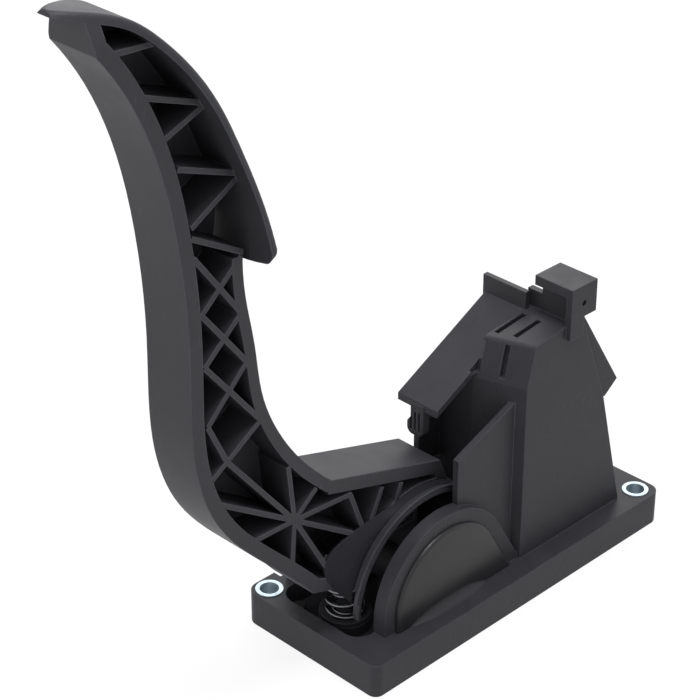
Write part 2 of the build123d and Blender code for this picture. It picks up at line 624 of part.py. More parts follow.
def cover_seal():
    """Flat gasket between tower and back cover."""
    ring = tower_back(0.6) - tower_cavity()
    body = slab(ring, TOWER_BACK, TOWER_BACK + SEAL_T)
    for x, z in SCREW_SPOTS:
        body -= rod(SCREW_R + 0.3, TOWER_BACK - 1, TOWER_BACK + 2, x, z)
    return body


def tower_cover():
    """Back cover with the plug socket moulded on."""
    low = TOWER_BACK + SEAL_T
    body = slab(tower_back(0), low, low + COVER_T)
    socket = Pos(PLUG_X, PLUG_Z) * RectangleRounded(PLUG_L, PLUG_H, 2.5)
    inside = Pos(PLUG_X, PLUG_Z) * RectangleRounded(PLUG_L - 4, PLUG_H - 4, 1.5)
    body += slab(socket, low, low + COVER_T + PLUG_DEPTH)
    body -= slab(inside, low + COVER_T, low + COVER_T + PLUG_DEPTH + 1)
    for x, z in SCREW_SPOTS:
        body -= rod(SCREW_R + 0.3, low - 1, low + COVER_T + 1, x, z)
    for x, z in pin_spots():
        body -= rod(PIN_R, low - 1, low + COVER_T + 1, x, z)
    return body


def pin_spots():
    """Pin centres in one row along the socket."""
    start = PLUG_X - PIN_PITCH * (PIN_COUNT - 1) / 2
    return [(start + PIN_PITCH * i, PLUG_Z) for i in range(PIN_COUNT)]


def connector_pins():
    """Row of plated contact pins through the back cover."""
    low = TOWER_BACK + SEAL_T
    return Compound([rod(PIN_R, low - 7, low + COVER_T + PLUG_DEPTH - 4, x, z) for x, z in pin_spots()])


def cover_screws():
    """Pan-head screws that hold the back cover."""
    seat = TOWER_BACK + SEAL_T + COVER_T
    screws = []
    for x, z in SCREW_SPOTS:
        head = rod(3.6, seat, seat + 2.2, x, z)
        head = fillet(head.edges().filter_by(lambda e: e.center().Y > seat + 1), 0.8)
        drive = slab(Pos(x, z) * (Rectangle(4, 0.9) + Rectangle(0.9, 4)), seat + 1.1, seat + 3)
        screws.append(head + rod(SCREW_R, TOWER_BACK - 10, seat + 0.5, x, z) - drive)
    return Compound(screws)


def main():
    os.makedirs("parts", exist_ok=True)
    hub_front = ARM_Y - TUBE_HALF
    hub_back = ARM_Y + TUBE_HALF
    nodes = {
        "base_housing": base_housing(),
        "compression_sleeves": sleeves(),
        "pedal_arm": pedal_arm(),
        "pivot_shaft": pivot_shaft(),
        "shaft_clip": shaft_clip(),
        "bush_front": bush(FRONT_WALL_IN, FRONT_WALL_OUT),
        "bush_back": bush(BACK_WALL_IN, BACK_WALL_OUT),
        "friction_washer": washer(COLLAR_R, hub_front - 1.1, hub_front),
        "wave_washer": washer(COLLAR_R - 1, hub_back, hub_back + 1.1),
        "return_spring_outer": coil(OUTER_R, OUTER_WIRE, OUTER_TURNS),
        "return_spring_inner": coil(INNER_R, INNER_WIRE, INNER_TURNS),
        "spring_seat": spring_seat(),
        "spring_cup": spring_cup(),
        "idle_stop": stop(*IDLE_STOP),
        "full_stop": stop(*FULL_STOP),
        "sensor_cover": sensor_cover(),
        "sensor_board": sensor_board(),
        "hall_chips": hall_chips(),
        "magnet_rotor": magnet_rotor(),
        "sensor_magnet": sensor_magnet(),
        "tower_cover": tower_cover(),
        "cover_seal": cover_seal(),
        "cover_screws": cover_screws(),
        "connector_pins": connector_pins(),
    }
    for name, shape in nodes.items():
        export_step(shape, f"parts/{name}.step")


if __name__ == "__main__":
    main()
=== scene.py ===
"""Looks of a floor-mounted accelerator pedal, built round its packed construction model."""

import json
import math

import bmesh
import bpy
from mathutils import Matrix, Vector


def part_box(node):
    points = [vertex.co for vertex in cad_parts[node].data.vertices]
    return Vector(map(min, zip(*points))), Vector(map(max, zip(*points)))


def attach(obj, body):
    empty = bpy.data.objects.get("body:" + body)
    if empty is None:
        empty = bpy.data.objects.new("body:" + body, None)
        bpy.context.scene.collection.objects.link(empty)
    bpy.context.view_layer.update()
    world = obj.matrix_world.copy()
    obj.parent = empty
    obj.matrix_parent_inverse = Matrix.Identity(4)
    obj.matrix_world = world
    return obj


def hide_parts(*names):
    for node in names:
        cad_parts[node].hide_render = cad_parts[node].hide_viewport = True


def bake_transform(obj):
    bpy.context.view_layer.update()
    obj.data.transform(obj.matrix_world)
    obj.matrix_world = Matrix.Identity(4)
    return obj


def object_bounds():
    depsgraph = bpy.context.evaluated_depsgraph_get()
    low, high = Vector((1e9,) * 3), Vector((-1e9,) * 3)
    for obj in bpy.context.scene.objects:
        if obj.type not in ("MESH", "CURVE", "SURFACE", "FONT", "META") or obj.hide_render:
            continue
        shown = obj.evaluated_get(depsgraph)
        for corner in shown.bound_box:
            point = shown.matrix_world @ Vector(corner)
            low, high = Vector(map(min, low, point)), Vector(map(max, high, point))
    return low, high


bl_info = {
    "name": "Accelerator pedal",
    "version": (1, 0, 0),
    "blender": (4, 5, 0),
    "location": "View3D > Sidebar > Pedal",
    "description": "Dresses the pedal's construction model with its finishes, springs and studio",
    "category": "Object",
}

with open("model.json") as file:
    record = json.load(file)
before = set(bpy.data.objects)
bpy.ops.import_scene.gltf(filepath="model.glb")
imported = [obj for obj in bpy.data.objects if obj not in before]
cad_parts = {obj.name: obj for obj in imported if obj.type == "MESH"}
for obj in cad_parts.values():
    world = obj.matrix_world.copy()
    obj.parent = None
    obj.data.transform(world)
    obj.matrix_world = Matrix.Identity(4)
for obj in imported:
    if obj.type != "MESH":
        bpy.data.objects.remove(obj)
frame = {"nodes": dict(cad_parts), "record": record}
NODES = frame["nodes"]
CAD_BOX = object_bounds()
HUB = Vector(frame["record"]["behaviour"]["joints"][0]["pos_m"])
MM = 0.001

# Angles round the hub in degrees, from the tower's side over the top to the lower lip
FLANGE_ANGLES = range(48, 171, 2)
STRIP_START, CHEEK_START, CHEEK_END = 58, 105, 171
CAP_ARC = range(180, 29, -3)
CAP_FLARE = 30
# Corners of the cheek's left edge on the rib's face, in millimetres along X and Z
CHEEK_CORNERS = ((-50, 62.8), (-84, 60), (-104, 58), (-85.5, 34.5))
STRIP_ROWS, CHEEK_ROWS, CHEEK_COLUMNS = 12, 16, 12
RIM_STEPS, FOOT_COLUMNS, FOOT_STEPS, KEY_STEPS = 6, 24, 12, 6
STEPS_PER_TURN = 40
# Meeting faces overlap or keep apart by a hair, so that no slit or flicker shows
STRIP_LIFT, CAP_SINK, KEY_GAP, FLOOR_GAP, WELD = 0.4 * MM, 0.18 * MM, 0.03 * MM, 0.05 * MM, 0.005 * MM
SHARP_CORNER = math.radians(35)

FLOOR_HALF = 4.0
PAPER_GLOW = 0.85
LAMPS = (
    ("key lamp", "key", 0.5, (-0.1, -0.15, 1.3)),
    ("fill lamp", "fill", 1.0, (-1.3, 0.2, 0.9)),
    ("back lamp", "back", 0.9, (0.95, 0.85, 1.0)),
)
LAMP_AIM = Vector((0, 0, 0.12))
CAMERA_PLACE = (-0.6104, -0.5408, 0.5810)
CAMERA_TURN = (math.radians(60), 0, math.radians(-45.04))


def linear(hex_colour):
    """Linear RGB of an sRGB colour written as six hex digits."""
    channels = [int(hex_colour[i:i + 2], 16) / 255 for i in (0, 2, 4)]
    return tuple(c / 12.92 if c <= 0.04045 else ((c + 0.055) / 1.055) ** 2.4 for c in channels)


def colour_property(name, description, hex_colour):
    """Colour swatch whose default is written in sRGB."""
    return bpy.props.FloatVectorProperty(
        name=name, description=description, subtype="COLOR", size=3, min=0, max=1, default=linear(hex_colour))


def length_property(name, description, millimetres):
    """Length whose default is written in millimetres."""
    return bpy.props.FloatProperty(
        name=name, description=description, unit="LENGTH", subtype="DISTANCE", default=millimetres * MM)


class PedalPlastics(bpy.types.PropertyGroup):
    """Colours, grain and edges of the moulded pieces."""

    housing: colour_property("Housing", "Body colour of the base, tower and back cover", "2D2D31")
    arm: colour_property("Arm", "Body colour of the pedal arm", "303034")
    # The cheek's colour is the arm's plastic drawn darker, as painted shade.
    cheek: colour_property("Cheek", "Body colour of the arm's coarse cheek over the springs", "212125")
    cap: colour_property("Cap", "Body colour of the half-round sensor cap", "202022")
    bearing: colour_property("Bearing", "Colour of the bushes and washers", "D8D2C2")
    rubber: colour_property("Rubber", "Colour of the stops and the seal", "171718")
    board: colour_property("Board", "Green lacquer of the sensor board", "1F5A36")
    chips: colour_property("Chips", "Black epoxy of the sensor chips", "1C1C1E")
    grain: length_property("Grain", "Width of the eroded grain on the moulded faces", 0.8)
    # The edge width also sets the band of paler edges, partly wear and partly painted highlight.
    edge: length_property("Edge", "Rounding and rubbed width of the moulded edges", 0.7)


class PedalMetals(bpy.types.PropertyGroup):
    """Colours of the metal pieces."""

    zinc: colour_property("Zinc", "Blue-white zinc plate", "BAC7CF")
    steel: colour_property("Steel", "Ground shaft steel", "B9BABC")
    spring: colour_property("Spring", "Drawn spring wire under oil", "77787C")
    nickel: colour_property("Nickel", "Plate on the sensor magnet", "A9A59C")
    tin: colour_property("Contacts", "Tinned contact pins", "D9D3BE")


class PedalSprings(bpy.types.PropertyGroup):
    """Sizes of the two nested return springs."""

    outer_wire: length_property("Outer wire", "Wire of the outer spring", 1.7)
    inner_wire: length_property("Inner wire", "Wire of the inner spring", 1.3)
    outer_turns: bpy.props.FloatProperty(name="Outer turns", description="Turns of the outer spring", default=6, min=1)
    inner_turns: bpy.props.FloatProperty(name="Inner turns", description="Turns of the inner spring", default=8, min=1)
    ends: bpy.props.FloatProperty(name="Closed turns", description="Flat turns at each end", default=0.75, min=0)


class PedalCap(bpy.types.PropertyGroup):
    """Sizes of the half-round cap over the sensor."""

    depth: length_property("Depth", "How far the cap stands out from the bearing wall", 1.8)
    rim: length_property("Rim", "Rounding of the cap's rim", 1.5)
    foot: length_property("Foot", "How far the cap's foot sweeps out on to the plate", 4)
    spread: length_property("Spread", "Half the width of the foot", 23.3)
    key: length_property("Key", "Radius of the key in the groove under the foot", 7.48)


class PedalCheek(bpy.types.PropertyGroup):
    """Sizes of the arm's cheek in front of the springs and of the flange on its drum."""

    near: length_property("Near", "Place of the cheek's left edge across the arm", -9.1)
    far: length_property("Far", "Place of the cheek's right edge across the arm", -12.4)
    drum: length_property("Drum", "Radius at which the cheek meets the drum", 41.9)
    bulge: length_property("Bulge", "How far the cheek swells outwards", 0.5)
    wall: length_property("Wall", "Thickness of the cheek", 1.2)
    rise: length_property("Rise", "How far the flange stands out from the drum", 1.7)
    flange: length_property("Flange", "Thickness of the flange along the drum's edge", 1.1)
    root: length_property("Root", "Radius at which the flange starts", 41.6)
    half: length_property("Half length", "Half the drum's length along the shaft", 19.5)


class PedalStudio(bpy.types.PropertyGroup):
    """Floor, light and camera."""

    floor: colour_property("Floor", "Pale studio floor", "F4F4F4")
    sky: bpy.props.FloatProperty(name="Sky", description="Strength of the soft light all round", default=0.8, min=0)
    key: bpy.props.FloatProperty(
        name="Key", description="Power of the lamp over the pedal", default=10, min=0, unit="POWER")
    fill: bpy.props.FloatProperty(
        name="Fill", description="Power of the lamp on the camera's left", default=3, min=0, unit="POWER")
    back: bpy.props.FloatProperty(
        name="Back", description="Power of the lamp behind the pedal on the right", default=7, min=0, unit="POWER")
    lens: bpy.props.FloatProperty(
        name="Lens", description="Focal length of the camera in millimetres", default=115.2, min=1, unit="CAMERA")


def add_node(tree, kind, inputs=None, **settings):
    """Adds a node, gives it its settings, and fills or links its inputs."""
    node = tree.nodes.new(kind)
    for name, value in settings.items():
        setattr(node, name, value)
    for name, value in (inputs or {}).items():
        if isinstance(value, bpy.types.NodeSocket):
            tree.links.new(value, node.inputs[name])
        else:
            node.inputs[name].default_value = value
    return node


def new_material(name, preview):
    """Empty node material, its tree and the part's own coordinates."""
    material = bpy.data.materials.new(name)
    material.use_nodes = True
    material.diffuse_color = (*preview, 1)
    tree = material.node_tree
    tree.nodes.clear()
    return material, tree, add_node(tree, "ShaderNodeTexCoord").outputs["Object"]


def shade(colour, factor):
    """Colour made lighter or darker, with full alpha."""
    return (*[min(1, c * factor) for c in colour], 1)


def moulded_nylon(name, colour, look, cloud_mm, dull=(0.44, 0.58), rub_and_highlight=1.5, mirror=0.18, edge=1.0):
    """Black glass-filled nylon, moulded in a spark-eroded tool.

    dull is the least and the most roughness, rub_and_highlight how pale the edges are drawn, partly as wear and partly
    as painted highlight, mirror the strength of reflections and edge the share of the common edge rounding.
    """
    # The eroded tool leaves a dull, evenly pitted skin. The melt's flow shows as faint clouds of more or less gloss,
    # fibres close under the skin as short pale streaks, and edges are drawn paler and smoother, partly as wear from
    # hands and tools and partly as painted highlight.
    material, tree, place = new_material(name, colour)
    clouds = add_node(tree, "ShaderNodeTexNoise", {
        "Vector": place, "Scale": 1 / (cloud_mm * MM), "Detail": 4.0, "Roughness": 0.6})
    # Real pits are about 0.1 mm wide and fibres 0.3 mm long. Both are drawn several times coarser so that they show.
    pits = add_node(tree, "ShaderNodeTexNoise", {
        "Vector": place, "Scale": 1 / look.grain, "Detail": 2.0, "Roughness": 0.5})
    lying = add_node(tree, "ShaderNodeMapping", {
        "Vector": place, "Rotation": (0.3, 0.5, 0.2), "Scale": (1.0, 1.0, 0.18)})
    fibres = add_node(tree, "ShaderNodeTexNoise", {
        "Vector": lying.outputs["Vector"], "Scale": 1 / (0.9 * MM), "Detail": 1.0})
    streaks = add_node(tree, "ShaderNodeMapRange", {
        "Value": fibres.outputs["Fac"], "From Min": 0.62, "From Max": 0.78, "To Min": 0.0, "To Max": 0.5})
    corner = add_node(tree, "ShaderNodeBevel", {"Radius": look.edge * edge}, samples=4)
    turn = add_node(tree, "ShaderNodeVectorMath", {
        0: corner.outputs["Normal"], 1: add_node(tree, "ShaderNodeNewGeometry").outputs["Normal"]},
        operation="DOT_PRODUCT")
    # Painted highlight and wear: the edges that the bevel finds are drawn paler and glossier.
    rubbed_and_highlit = add_node(tree, "ShaderNodeMapRange", {
        "Value": turn.outputs["Value"], "From Min": 0.985, "From Max": 0.8, "To Min": 0.0, "To Max": 1.0})
    patchy_rub_and_highlight = add_node(tree, "ShaderNodeMath", {
        0: rubbed_and_highlit.outputs["Result"], 1: clouds.outputs["Fac"]}, operation="MULTIPLY")
    flow = add_node(tree, "ShaderNodeMix", {
        0: clouds.outputs["Fac"], 6: shade(colour, 0.72), 7: shade(colour, 1.28)}, data_type="RGBA")
    fibred = add_node(tree, "ShaderNodeMix", {
        0: streaks.outputs["Result"], 6: flow.outputs[2], 7: shade(colour, 1.7)}, data_type="RGBA")
    # Edge colour: paler towards the edges, partly wear and partly painted highlight.
    worn_and_highlit_colour = add_node(tree, "ShaderNodeMix", {
        0: patchy_rub_and_highlight.outputs["Value"], 6: fibred.outputs[2], 7: shade(colour, 1 + 2 * rub_and_highlight)}, data_type="RGBA")
    gloss = add_node(tree, "ShaderNodeMapRange", {
        "Value": clouds.outputs["Fac"], "From Min": 0.3, "From Max": 0.7, "To Min": dull[0], "To Max": dull[1]})
    polish = add_node(tree, "ShaderNodeMath", {
        0: patchy_rub_and_highlight.outputs["Value"], 1: -0.12, 2: gloss.outputs["Result"]}, operation="MULTIPLY_ADD")
    relief = add_node(tree, "ShaderNodeBump", {
        "Height": pits.outputs["Fac"], "Strength": 0.3, "Distance": 0.06 * MM, "Normal": corner.outputs["Normal"]})
    skin = add_node(tree, "ShaderNodeBsdfPrincipled", {
        "Base Color": worn_and_highlit_colour.outputs[2], "Roughness": polish.outputs["Value"], "IOR": 1.53,
        "Specular IOR Level": mirror, "Normal": relief.outputs["Normal"]})
    add_node(tree, "ShaderNodeOutputMaterial", {"Surface": skin.outputs["BSDF"]})
    return material


def press_moulded(name, colour):
    """Black nitrile rubber or chip epoxy, press-moulded."""
    # These are the dullest surfaces on the pedal, with a grey bloom in patches and a fine sandy touch.
    material, tree, place = new_material(name, colour)
    bloom = add_node(tree, "ShaderNodeTexNoise", {"Vector": place, "Scale": 1 / (3 * MM), "Detail": 5.0})
    sand = add_node(tree, "ShaderNodeTexNoise", {"Vector": place, "Scale": 1 / (0.5 * MM), "Detail": 2.0})
    tone = add_node(tree, "ShaderNodeMix", {
        0: bloom.outputs["Fac"], 6: shade(colour, 0.7), 7: shade(colour, 1.5)}, data_type="RGBA")
    dull = add_node(tree, "ShaderNodeMapRange", {"Value": bloom.outputs["Fac"], "To Min": 0.68, "To Max": 0.9})
    relief = add_node(tree, "ShaderNodeBump", {
        "Height": sand.outputs["Fac"], "Strength": 0.3, "Distance": 0.05 * MM})
    skin = add_node(tree, "ShaderNodeBsdfPrincipled", {
        "Base Color": tone.outputs[2], "Roughness": dull.outputs["Result"], "IOR": 1.52,
        "Normal": relief.outputs["Normal"]})
    add_node(tree, "ShaderNodeOutputMaterial", {"Surface": skin.outputs["BSDF"]})
    return material


def natural_acetal(name, colour):
    """Acetal in its natural colour, turned from rod."""
    # It is milky, a little waxy, and the tool leaves fine rings round the shaft's axis.
    material, tree, place = new_material(name, colour)
    # Real tool marks are 0.1 mm apart. They are drawn at 0.5 mm so that they show.
    rings = add_node(tree, "ShaderNodeTexWave", {
        "Vector": place, "Scale": 1 / (3.2 * MM), "Distortion": 0.6, "Detail": 1.0}, bands_direction="Y")
    wax = add_node(tree, "ShaderNodeTexNoise", {"Vector": place, "Scale": 1 / (4 * MM), "Detail": 3.0})
    tone = add_node(tree, "ShaderNodeMix", {
        0: wax.outputs["Fac"], 6: shade(colour, 0.9), 7: shade(colour, 1.04)}, data_type="RGBA")
    gloss = add_node(tree, "ShaderNodeMapRange", {"Value": wax.outputs["Fac"], "To Min": 0.28, "To Max": 0.46})
    relief = add_node(tree, "ShaderNodeBump", {
        "Height": rings.outputs["Fac"], "Strength": 0.2, "Distance": 0.04 * MM})
    skin = add_node(tree, "ShaderNodeBsdfPrincipled", {
        "Base Color": tone.outputs[2], "Roughness": gloss.outputs["Result"], "IOR": 1.48,
        "Subsurface Weight": 0.15, "Subsurface Scale": 1.5 * MM, "Normal": relief.outputs["Normal"]})
    add_node(tree, "ShaderNodeOutputMaterial", {"Surface": skin.outputs["BSDF"]})
    return material


def plated_metal(name, colour, rough, patch_mm):
    """Metal with a thin plated skin: zinc, nickel or tin."""
    # The plate follows the rolled or turned metal below, so its gloss comes in soft patches, with small dull
    # spots where it was handled.
    material, tree, place = new_material(name, colour)
    patches = add_node(tree, "ShaderNodeTexNoise", {
        "Vector": place, "Scale": 1 / (patch_mm * MM), "Detail": 3.0, "Roughness": 0.6})
    # Real plating grain is some hundredths of a millimetre. It is drawn at 0.4 mm so that it shows.
    crystals = add_node(tree, "ShaderNodeTexVoronoi", {"Vector": place, "Scale": 1 / (0.4 * MM)})
    tone = add_node(tree, "ShaderNodeMix", {
        0: patches.outputs["Fac"], 6: shade(colour, 0.78), 7: shade(colour, 1.12)}, data_type="RGBA")
    dull = add_node(tree, "ShaderNodeMapRange", {
        "Value": patches.outputs["Fac"], "From Min": 0.3, "From Max": 0.7,
        "To Min": rough * 0.75, "To Max": rough * 1.3})
    relief = add_node(tree, "ShaderNodeBump", {
        "Height": crystals.outputs["Distance"], "Strength": 0.12, "Distance": 0.04 * MM})
    skin = add_node(tree, "ShaderNodeBsdfPrincipled", {
        "Base Color": tone.outputs[2], "Metallic": 1.0, "Roughness": dull.outputs["Result"],
        "Normal": relief.outputs["Normal"]})
    add_node(tree, "ShaderNodeOutputMaterial", {"Surface": skin.outputs["BSDF"]})
    return material


def drawn_steel(name, colour, rough, stretch):
    """Bare steel, drawn through a die or ground."""
    # Lines run the way the metal was pulled or the wheel turned, and a film of oil makes darker, glossier runs.
    material, tree, place = new_material(name, colour)
    along = add_node(tree, "ShaderNodeMapping", {"Vector": place, "Scale": stretch})
    # Real lines are a few hundredths of a millimetre wide. They are drawn at 0.3 mm so that they show.
    lines = add_node(tree, "ShaderNodeTexNoise", {
        "Vector": along.outputs["Vector"], "Scale": 1 / (0.3 * MM), "Detail": 2.0})
    oil = add_node(tree, "ShaderNodeTexNoise", {"Vector": place, "Scale": 1 / (5 * MM), "Detail": 3.0})
    tone = add_node(tree, "ShaderNodeMix", {
        0: oil.outputs["Fac"], 6: shade(colour, 0.6), 7: shade(colour, 1.25)}, data_type="RGBA")
    gloss = add_node(tree, "ShaderNodeMapRange", {
        "Value": oil.outputs["Fac"], "From Min": 0.3, "From Max": 0.7, "To Min": rough * 0.7, "To Max": rough * 1.3})
    relief = add_node(tree, "ShaderNodeBump", {
        "Height": lines.outputs["Fac"], "Strength": 0.2, "Distance": 0.03 * MM})
    skin = add_node(tree, "ShaderNodeBsdfPrincipled", {
        "Base Color": tone.outputs[2], "Metallic": 1.0, "Roughness": gloss.outputs["Result"],
        "Normal": relief.outputs["Normal"]})
    add_node(tree, "ShaderNodeOutputMaterial", {"Surface": skin.outputs["BSDF"]})
    return material


def solder_mask(name, colour):
    """Green lacquer over etched copper on glass laminate."""
    # Tracks under the lacquer show as paler lines, and the glass cloth below as a faint square weave.
    material, tree, place = new_material(name, colour)
    tracks = add_node(tree, "ShaderNodeTexBrick", {
        "Vector": place, "Scale": 1 / (6 * MM), "Color1": shade(colour, 0.9), "Color2": shade(colour, 1.1),
        "Mortar": shade(colour, 1.9), "Mortar Size": 0.06})
    weave = add_node(tree, "ShaderNodeTexChecker", {"Vector": place, "Scale": 1 / (0.5 * MM)})
    gloss = add_node(tree, "ShaderNodeMapRange", {"Value": tracks.outputs["Fac"], "To Min": 0.3, "To Max": 0.22})
    relief = add_node(tree, "ShaderNodeBump", {
        "Height": weave.outputs["Fac"], "Strength": 0.15, "Distance": 0.02 * MM})
    skin = add_node(tree, "ShaderNodeBsdfPrincipled", {
        "Base Color": tracks.outputs["Color"], "Roughness": gloss.outputs["Result"], "IOR": 1.55,
        "Normal": relief.outputs["Normal"]})
    add_node(tree, "ShaderNodeOutputMaterial", {"Surface": skin.outputs["BSDF"]})
    return material


def dress(node, material):
    """Gives a construction node its finish."""
    mesh = NODES[node].data
    mesh.materials.clear()
    mesh.materials.append(material)


def round_hub(radius, angle):
    """X and Z of a place on a circle round the hub."""
    return HUB.x + radius * math.cos(angle), HUB.z + radius * math.sin(angle)


def skin_between(shell, sections, closed=True):
    """Faces between neighbouring sections, each a closed loop or an open line of corners."""
    for left, right in zip(sections, sections[1:]):
        for k in range(len(left) if closed else len(left) - 1):
            n = (k + 1) % len(left)
            shell.faces.new((left[k], left[n], right[n], right[k]))


def link_piece(name, data):
    """Object of a finished mesh, curve, lamp or camera, in the scene."""
    piece = bpy.data.objects.new(name, data)
    bpy.context.scene.collection.objects.link(piece)
    return piece


def shell_piece(name, shell):
    """Piece of a closed shell, smooth but for its sharp corners."""
    bmesh.ops.recalc_face_normals(shell, faces=shell.faces)
    mesh = bpy.data.meshes.new(name)
    shell.to_mesh(mesh)
    shell.free()
    mesh.shade_smooth()
    mesh.set_sharp_from_angle(angle=SHARP_CORNER)
    return link_piece(name, mesh)


def coil_piece(name, node, wire, turns, ends):
    """Round-wire compression spring in the place of a construction node, with closed ends."""
    low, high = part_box(node)
    centre = (low + high) / 2
    mean = (high.x - low.x) / 2 - wire / 2
    rise = high.z - low.z - wire
    steps = int(turns * STEPS_PER_TURN)
    curve = bpy.data.curves.new(name, "CURVE")
    curve.dimensions = "3D"
    curve.bevel_depth = wire / 2
    curve.bevel_resolution = 5
    curve.use_fill_caps = True
    line = curve.splines.new("POLY")
    line.points.add(steps)
    closed = ends / turns
    for i, point in enumerate(line.points):
        share = i / steps
        turn = share * turns * 2 * math.pi
        lift = min(1, max(0, (share - closed) / (1 - 2 * closed)))
        point.co = (centre.x + mean * math.cos(turn), centre.y + mean * math.sin(turn),
                    low.z + wire / 2 + rise * lift, 1)
    shaped = link_piece(name + "_line", curve)
    mesh = bpy.data.meshes.new_from_object(shaped.evaluated_get(bpy.context.evaluated_depsgraph_get()))
    bpy.data.objects.remove(shaped)
    mesh.shade_smooth()
    return link_piece(name, mesh)


def cheek_piece(name, sizes):
    """Smooth cheek of the arm in front of the springs, and the strip that leads from it along the drum."""
    # A station has the left edge's place, the right edge's angle on the drum and its share of the bulge.
    stations = []
    for i in range(STRIP_ROWS):
        angle = math.radians(STRIP_START + (CHEEK_START - STRIP_START) * i / STRIP_ROWS)
        stations.append((*round_hub(sizes.drum + STRIP_LIFT, angle), angle, 0))
    for i in range(CHEEK_ROWS + 1):
        # The cheek's left edge is a cubic curve steered by its four corners.
        share = i / CHEEK_ROWS
        rest = 1 - share
        weights = (rest ** 3, 3 * rest * rest * share, 3 * rest * share * share, share ** 3)
        x, z = (sum(w * c[axis] for w, c in zip(weights, CHEEK_CORNERS)) * MM for axis in (0, 1))
        angle = math.radians(CHEEK_START + (CHEEK_END - CHEEK_START) * share)
        stations.append((x, z, angle, math.sin(math.pi * share)))
    shell = bmesh.new()
    rows = []
    for x, z, angle, swell in stations:
        end_x, end_z = round_hub(sizes.drum, angle)
        row = []
        for k in range(CHEEK_COLUMNS + 1):
            turn = k / CHEEK_COLUMNS
            bulge = sizes.bulge * math.sin(math.pi * turn) * swell
            row.append(shell.verts.new((
                x + (end_x - x) * turn, sizes.near + (sizes.far - sizes.near) * turn ** 2 - bulge,
                z + (end_z - z) * turn)))
        rows.append(row)
    skin_between(shell, rows, closed=False)
    bmesh.ops.recalc_face_normals(shell, faces=shell.faces)
    # The wall grows inwards, so the sheet has to face the front first.
    if sum((f.normal for f in shell.faces), Vector()).y > 0:
        bmesh.ops.reverse_faces(shell, faces=shell.faces)
    bmesh.ops.solidify(shell, geom=shell.faces[:], thickness=sizes.wall)
    return shell_piece(name, shell)


def flange_piece(name, sizes):
    """Thin flange round the drum's near edge, from behind the gusset to the lower lip."""
    front = HUB.y - sizes.half
    tip, back = sizes.root + sizes.rise, front + sizes.flange
    section = ((sizes.root, front), (tip, front), (tip, back), (sizes.root, back))
    shell = bmesh.new()
    rings = []
    for degrees in FLANGE_ANGLES:
        ring = []
        for radius, y in section:
            x, z = round_hub(radius, math.radians(degrees))
            ring.append(shell.verts.new((x, y, z)))
        rings.append(ring)
    skin_between(shell, rings)
    shell.faces.new(rings[0])
    shell.faces.new(rings[-1])
    return shell_piece(name, shell)


def cap_piece(name, sizes):
    """Half-round sensor cap with a rounded rim, and a foot that sweeps out on to the plate."""
    low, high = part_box("sensor_cover")
    radius, front = high.z - HUB.z, high.y - sizes.depth
    floor = low.z - CAP_SINK
    shell = bmesh.new()
    # Rim as inset outlines: up the left side, over the arc and down the straight flare on the right
    rings = []
    steps = [(0, high.y)] + [(sizes.rim * (1 - math.cos(a)), front + sizes.rim * (1 - math.sin(a)))
                             for a in (math.pi / 2 / RIM_STEPS * i for i in range(RIM_STEPS + 1))]
    for inset, y in steps:
        reach = radius - inset
        outline = [(HUB.x - reach, floor)] + [round_hub(reach, math.radians(a)) for a in CAP_ARC]
        end_x, end_z = outline[-1]
        outline.append((end_x + (end_z - floor) * math.tan(math.radians(CAP_FLARE)), floor))
        rings.append([shell.verts.new((x, y, z)) for x, z in outline])
    skin_between(shell, rings, closed=False)
    shell.faces.new(rings[0])
    shell.faces.new(reversed(rings[-1]))
    shell.faces.new([ring[0] for ring in reversed(rings)] + [ring[-1] for ring in rings])
    cap_faces = len(shell.faces)
    # Foot: hollow quarter rounds side by side, widest below the hub and running out to nothing at both ends
    columns = []
    for i in range(-FOOT_COLUMNS, FOOT_COLUMNS + 1):
        side = i / FOOT_COLUMNS
        sweep = sizes.foot * (1 - abs(side) ** 3)
        x = HUB.x + sizes.spread * side
        profile = [(front, floor)] + [
            (front - sweep * (1 - math.cos(a)), floor + sweep * (1 - math.sin(a)))
            for a in (math.pi / 2 / FOOT_STEPS * k for k in range(FOOT_STEPS + 1))]
        columns.append([shell.verts.new((x, y, z)) for y, z in profile])
    skin_between(shell, columns)
    # Key under the foot that fills the groove below the shaft's bore, level with the plate
    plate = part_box("base_housing")[0].y + KEY_GAP
    spread = math.acos((HUB.z - floor) / sizes.key)
    section = [(HUB.x + sizes.key * math.sin(a), HUB.z - sizes.key * math.cos(a))
               for a in (spread * i / KEY_STEPS for i in range(-KEY_STEPS, KEY_STEPS + 1))]
    ends = [[shell.verts.new((x, y, z)) for x, z in section] for y in (plate, front)]
    skin_between(shell, ends)
    for end in ends:
        shell.faces.new(end)
    # Foot and key take the second finish.
    shell.faces.ensure_lookup_table()
    for face in shell.faces[cap_faces:]:
        face.material_index = 1
    bmesh.ops.remove_doubles(shell, verts=[v for column in columns for v in column], dist=WELD)
    return shell_piece(name, shell)


class PEDAL_OT_housing(bpy.types.Operator):
    """Finish the base housing, the back cover and the rubber pieces"""

    bl_idname = "pedal.housing"
    bl_label = "Housing"

    def execute(self, context):
        look = context.scene.pedal_plastics
        nylon = moulded_nylon("glass-filled nylon, moulded housing", look.housing, look, 18)
        for node in ("base_housing", "tower_cover"):
            dress(node, nylon)
        rubber = press_moulded("nitrile rubber, press-moulded", look.rubber)
        for node in ("cover_seal", "full_stop", "idle_stop"):
            dress(node, rubber)
        return {"FINISHED"}


